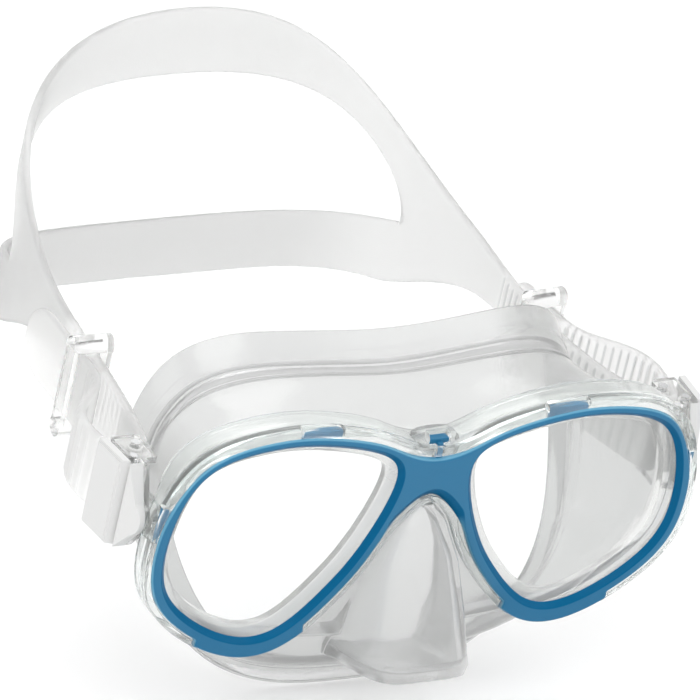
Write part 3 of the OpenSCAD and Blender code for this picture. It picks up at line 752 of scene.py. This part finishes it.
def along(t):
    """Direction of the side run."""
    v = run(max(t, 0) + 0.001) - run(max(t - 0.001, 0))
    return v / np.linalg.norm(v)


def beside(t):
    """Middle of the tail where it lies against the side run."""
    v = along(t)
    return run(t) + tail_gap * np.array([v[1], -v[0]])


def rib(i):
    """Height of the ribs at step i, four steps to a rib."""
    return ((1 + math.cos(2 * math.pi * (i - 1.5) / 4)) / 2) ** 0.7


out = roller + run_r * np.array([math.cos(lean), -math.sin(lean)])
loop = [out, out + 29 * np.array([math.sin(lean), math.cos(lean)]),
        beside(meet) - 15 * along(meet), beside(meet)]


def strap_stations(end):
    """Places along the strap from the tail tip to the middle of the back.
    Each has its spot, direction, rib height, place on the run, half width, way to the tip and painted
    valley shade."""
    rows = []
    tail, tip = end["tail"], end["tip"]
    for g in np.linspace(0, 90, 40):
        t = tail + (meet - tail) * (1 - math.cos(math.radians(g)))
        half = tail_half * math.sqrt(max(0.02, 1 - max(0.0, (t - tail + tip) / tip) ** 2))
        rows.append((beside(t), -along(t), 0.0, 0.0, half, tip_rate * (tail - t), (0, 0)))
    for u in np.linspace(1, 0, 160)[1:-1]:
        v = bezier(u - 0.005, *loop) - bezier(u + 0.005, *loop)
        rows.append((bezier(u, *loop), v / np.linalg.norm(v), rib(tail_ribs * (1 - u)), 0.0, tail_half, far,
                     end["tail_valley_shade"]))
    for d in np.arange(-20, -161, -7):
        g = math.radians(d)
        rows.append((roller + run_r * np.array([math.cos(g), math.sin(g)]),
                     np.array([math.sin(g), -math.cos(g)]), 0.0, 0.0, tail_half, far, (0, 0)))
    for t in np.linspace(0, rib_end, 222):
        rows.append((run(t), along(t), rib(t / rib_step), t, 0, far, end["run_valley_shade"]))
    to_split = np.linspace(rib_end, split, 30)[1:]
    to_back = split + (1 - split) * np.linspace(0, 1, 80)[1:] ** 2
    for t in np.concatenate([to_split, to_back]):
        rows.append((run(t), along(t), 0.0, t, 0, far, ()))
    return rows


def rounding(near):
    """Share of the thickness at a distance from a round edge."""
    return math.sqrt(max(0.0, 1 - max(0.0, 1 - near / edge_r) ** 2))


def band(verts, marks, faces, stations, lows, tops, low_free, top_free, depth):
    """Two faces of one band, thinning to round edges where an edge is free."""
    first = len(verts)
    steps = np.array([0, 0.04, 0.12, 0.25, 0.45, 0.75, 1.1, 1.8])
    for station, z0, z1, e0, e1, deep in zip(stations, lows, tops, low_free, top_free, depth):
        p, v, crest, _, _, tip, valley_shade = station
        w = z1 - z0
        scale = min(1.0, w / 5)
        middle = np.linspace(steps[-1] * scale / w, 1 - steps[-1] * scale / w, 9)[1:-1]
        across = np.concatenate([steps * scale / w, middle, 1 - steps[::-1] * scale / w])
        side = np.array([-v[1], v[0]])
        for face in (-1, 1):
            for u in across:
                d0 = u * w if e0 else far
                d1 = (1 - u) * w if e1 else far
                near = min(d0, d1)
                h = thick / 2 * rounding(near) * rounding(tip)
                if face > 0:
                    h += rib_h * crest * min(1.0, near / rib_fade)
                q = p + face * h * side
                verts.append((q[0], q[1], z0 + u * w))
                # Painted shade in the rib valleys, fading out near the edges
                fade = valley_shade[face < 0] * min(1.0, near / rib_fade) if valley_shade else 0.0
                marks.append((1 - (1 - crest) * fade, float(bool(valley_shade)), deep))
    count = len(across)
    for i in range(len(lows) - 1):
        for f in (0, 1):
            for j in range(count - 1):
                a0 = first + (i * 2 + f) * count + j
                quad = (a0, a0 + 1, a0 + 2 * count + 1, a0 + 2 * count)
                faces.append(quad if f else quad[::-1])


every, quads, marks = [], [], []
for end in ends:
    verts, faces = [], []
    stations = strap_stations(end)
    ts = np.array([s[3] for s in stations])
    half = np.array([s[4] for s in stations])
    top_z = np.where(half > 0, strap_z + half, strap_z + bezier(ts, tail_half, 0.0, 49.0, 49.0))
    low_z = np.where(half > 0, strap_z - half, strap_z - bezier(ts, tail_half, 6.0, 31.5, 30.0)
                     + 9.5 * ease((ts - 0.163) / 0.05) * ease((0.47 - ts) / 0.22))
    opened = np.clip((ts - split) / (1 - split), 0, 1)
    middle_z = (low_z + top_z) / 2 + (split_z - (low_z + top_z) / 2) * ease(ts / split)
    upper_low = np.where(opened > 0, split_z + 29 * np.sqrt(1 - (1 - opened) ** 2), middle_z)
    lower_high = np.where(opened > 0, split_z - 14 * (1 - (1 - opened) ** 2), middle_z)
    always, parted = np.ones(len(ts)), (opened > 0).astype(float)
    band(verts, marks, faces, stations, low_z, lower_high, always, parted, ease(opened * 2))
    band(verts, marks, faces, stations, upper_low, top_z, parted, always, 0 * opened)
    base = len(every)
    every.extend((np.array(verts) * [end["side"], 1, 1]).tolist())
    quads.extend(tuple(base + i for i in (f if end["side"] > 0 else f[::-1])) for f in faces)
mesh = bpy.data.meshes.new("frosted_strap")
mesh.from_pydata([tuple((np.array(p) + row) / 1000) for p in every], [], quads)
for name, values in zip(("rib", "ribbed", "low"), np.array(marks).T.copy()):
    mark(mesh, name, values)
bm = bmesh.new()
bm.from_mesh(mesh)
bmesh.ops.remove_doubles(bm, verts=bm.verts, dist=seam_gap)
bmesh.ops.holes_fill(bm, edges=[e for e in bm.edges if e.is_boundary], sides=8)
bmesh.ops.recalc_face_normals(bm, faces=bm.faces)
bm.to_mesh(mesh)
bm.free()
strap = bpy.data.objects.new("frosted_strap", mesh)
bpy.context.collection.objects.link(strap)
soften(strap, 60)

frosted_silicone, nodes, links, shader = new_material("Frosted silicone")
shader.inputs["IOR"].default_value = 1.30
shader.inputs["Transmission Weight"].default_value = 0.75
surface = mould(nodes, links, shader, {"Grain scale": 3000.0, "Grain": 0.5, "Wave": 0.03,
                                       "Rough low": 0.36, "Rough high": 0.50})
tone = colours(nodes, (0.86, 0.865, 0.86), (0.90, 0.90, 0.895))
links.new(surface.outputs["Patches"], tone.inputs["Fac"])
# Painted shade in the rib valleys, where the rib mark is low
valley_shade_tone = colours(nodes, (0.66, 0.67, 0.67), (1, 1, 0.995), 0.25, 0.6)
links.new(read_mark(nodes, "rib"), valley_shade_tone.inputs["Fac"])
shade = blend(nodes, links, read_mark(nodes, "ribbed"), tone.outputs["Color"])
links.new(valley_shade_tone.outputs["Color"], shade.inputs["B"])
dim = blend(nodes, links, read_mark(nodes, "low"), shade.outputs["Result"], "MULTIPLY")
dim.inputs["B"].default_value = (0.87, 0.87, 0.87, 1)
links.new(dim.outputs["Result"], shader.inputs["Base Color"])
pale_shadow(nodes, links, shader, 0.88)
wear(strap, frosted_silicone)
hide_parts("strap")
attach(strap, "harness")


# Keepers: clear plastic loops with a rolled grip above and below, one on each strap end.
# They slide on the strap and hold its tail.
for side in ("left", "right"):
    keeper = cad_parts["keeper_" + side]
    round_edges(keeper, "Moulded edge", 0.0004, 3, 40)
    wear(keeper, milky_plastic)


# Stage: a white floor that keeps the shadow, a white surround, soft lamps and the photograph's camera.
# The surround is seen as plain white and lights the part a little less strongly.
bpy.ops.mesh.primitive_plane_add(size=8, location=(0, 0, -0.0002))
floor = bpy.context.object
floor.name = "floor"
white_floor, nodes, links, shader = new_material("White floor")
shader.inputs["Base Color"].default_value = (0.97, 0.97, 0.97, 1)
shader.inputs["Roughness"].default_value = 0.9
shader.inputs["Specular IOR Level"].default_value = 0.0
wear(floor, white_floor)

world = bpy.data.worlds.new("White surround")
scene = bpy.context.scene
scene.world = world
world.use_nodes = True
nodes, links = world.node_tree.nodes, world.node_tree.links
soft, seen = nodes["Background"], nodes.new("ShaderNodeBackground")
for background, strength in ((soft, 0.72), (seen, 1.0)):
    background.inputs["Color"].default_value = (1, 1, 1, 1)
    background.inputs["Strength"].default_value = strength
path, mix = nodes.new("ShaderNodeLightPath"), nodes.new("ShaderNodeMixShader")
either, also = nodes.new("ShaderNodeMath"), nodes.new("ShaderNodeMath")
either.operation = also.operation = "MAXIMUM"
links.new(path.outputs["Is Camera Ray"], either.inputs[0])
links.new(path.outputs["Is Glossy Ray"], either.inputs[1])
links.new(either.outputs["Value"], also.inputs[0])
links.new(path.outputs["Is Transmission Ray"], also.inputs[1])
links.new(also.outputs["Value"], mix.inputs["Fac"])
links.new(soft.outputs["Background"], mix.inputs[1])
links.new(seen.outputs["Background"], mix.inputs[2])
links.new(mix.outputs["Shader"], nodes["World Output"].inputs["Surface"])

lamp_target = Vector((0, 0, 0.05))
for name, spot, size, power in (("key", (-0.5, -0.7, 1.3), 1.1, 7.5), ("fill", (0.9, -0.5, 0.9), 0.9, 2.6),
                                ("back", (0.2, 0.9, 1.1), 1.0, 3.2), ("left", (-1.3, 0.1, 0.45), 0.9, 2.0)):
    lamp = bpy.data.lights.new(name, "AREA")
    lamp.shape = "DISK"
    lamp.size = size
    lamp.energy = power
    lamp_obj = bpy.data.objects.new(name, lamp)
    lamp_obj.location = spot
    lamp_obj.rotation_euler = (lamp_target - Vector(spot)).to_track_quat("-Z", "Y").to_euler()
    bpy.context.collection.objects.link(lamp_obj)

# The camera stands 2.5 m from the mask, at the azimuth, elevation and roll fitted to the photograph
az, el, roll = (math.radians(v) for v in (-35.0, 29.538, 13.167))
aim_off, stand_off, focal_px, picture_px, sensor_mm = (-17.093, 44.131), 2500, 10332.93, 700, 36
back = Vector((math.sin(az) * math.cos(el), -math.cos(az) * math.cos(el), math.sin(el)))
right = Vector((math.cos(az), math.sin(az), 0))
up = back.cross(right)
turned_right = math.cos(roll) * right + math.sin(roll) * up
turned_up = -math.sin(roll) * right + math.cos(roll) * up
eye = (Vector(row) + aim_off[0] * turned_right + aim_off[1] * turned_up + stand_off * back) / 1000
camera = bpy.data.cameras.new("photo camera")
camera.sensor_width = sensor_mm
camera.lens = focal_px / picture_px * sensor_mm
camera.clip_end = 50
camera_obj = bpy.data.objects.new("photo camera", camera)
turn = Matrix((turned_right, turned_up, back)).transposed().to_4x4()
camera_obj.matrix_world = Matrix.Translation(eye) @ turn
bpy.context.collection.objects.link(camera_obj)
scene.camera = camera_obj
scene.view_settings.view_transform = "Standard"
scene.cycles.max_bounces = 24
scene.cycles.transmission_bounces = 20
scene.cycles.transparent_max_bounces = 32
scene.cycles.glossy_bounces = 6
scene.cycles.caustics_reflective = False
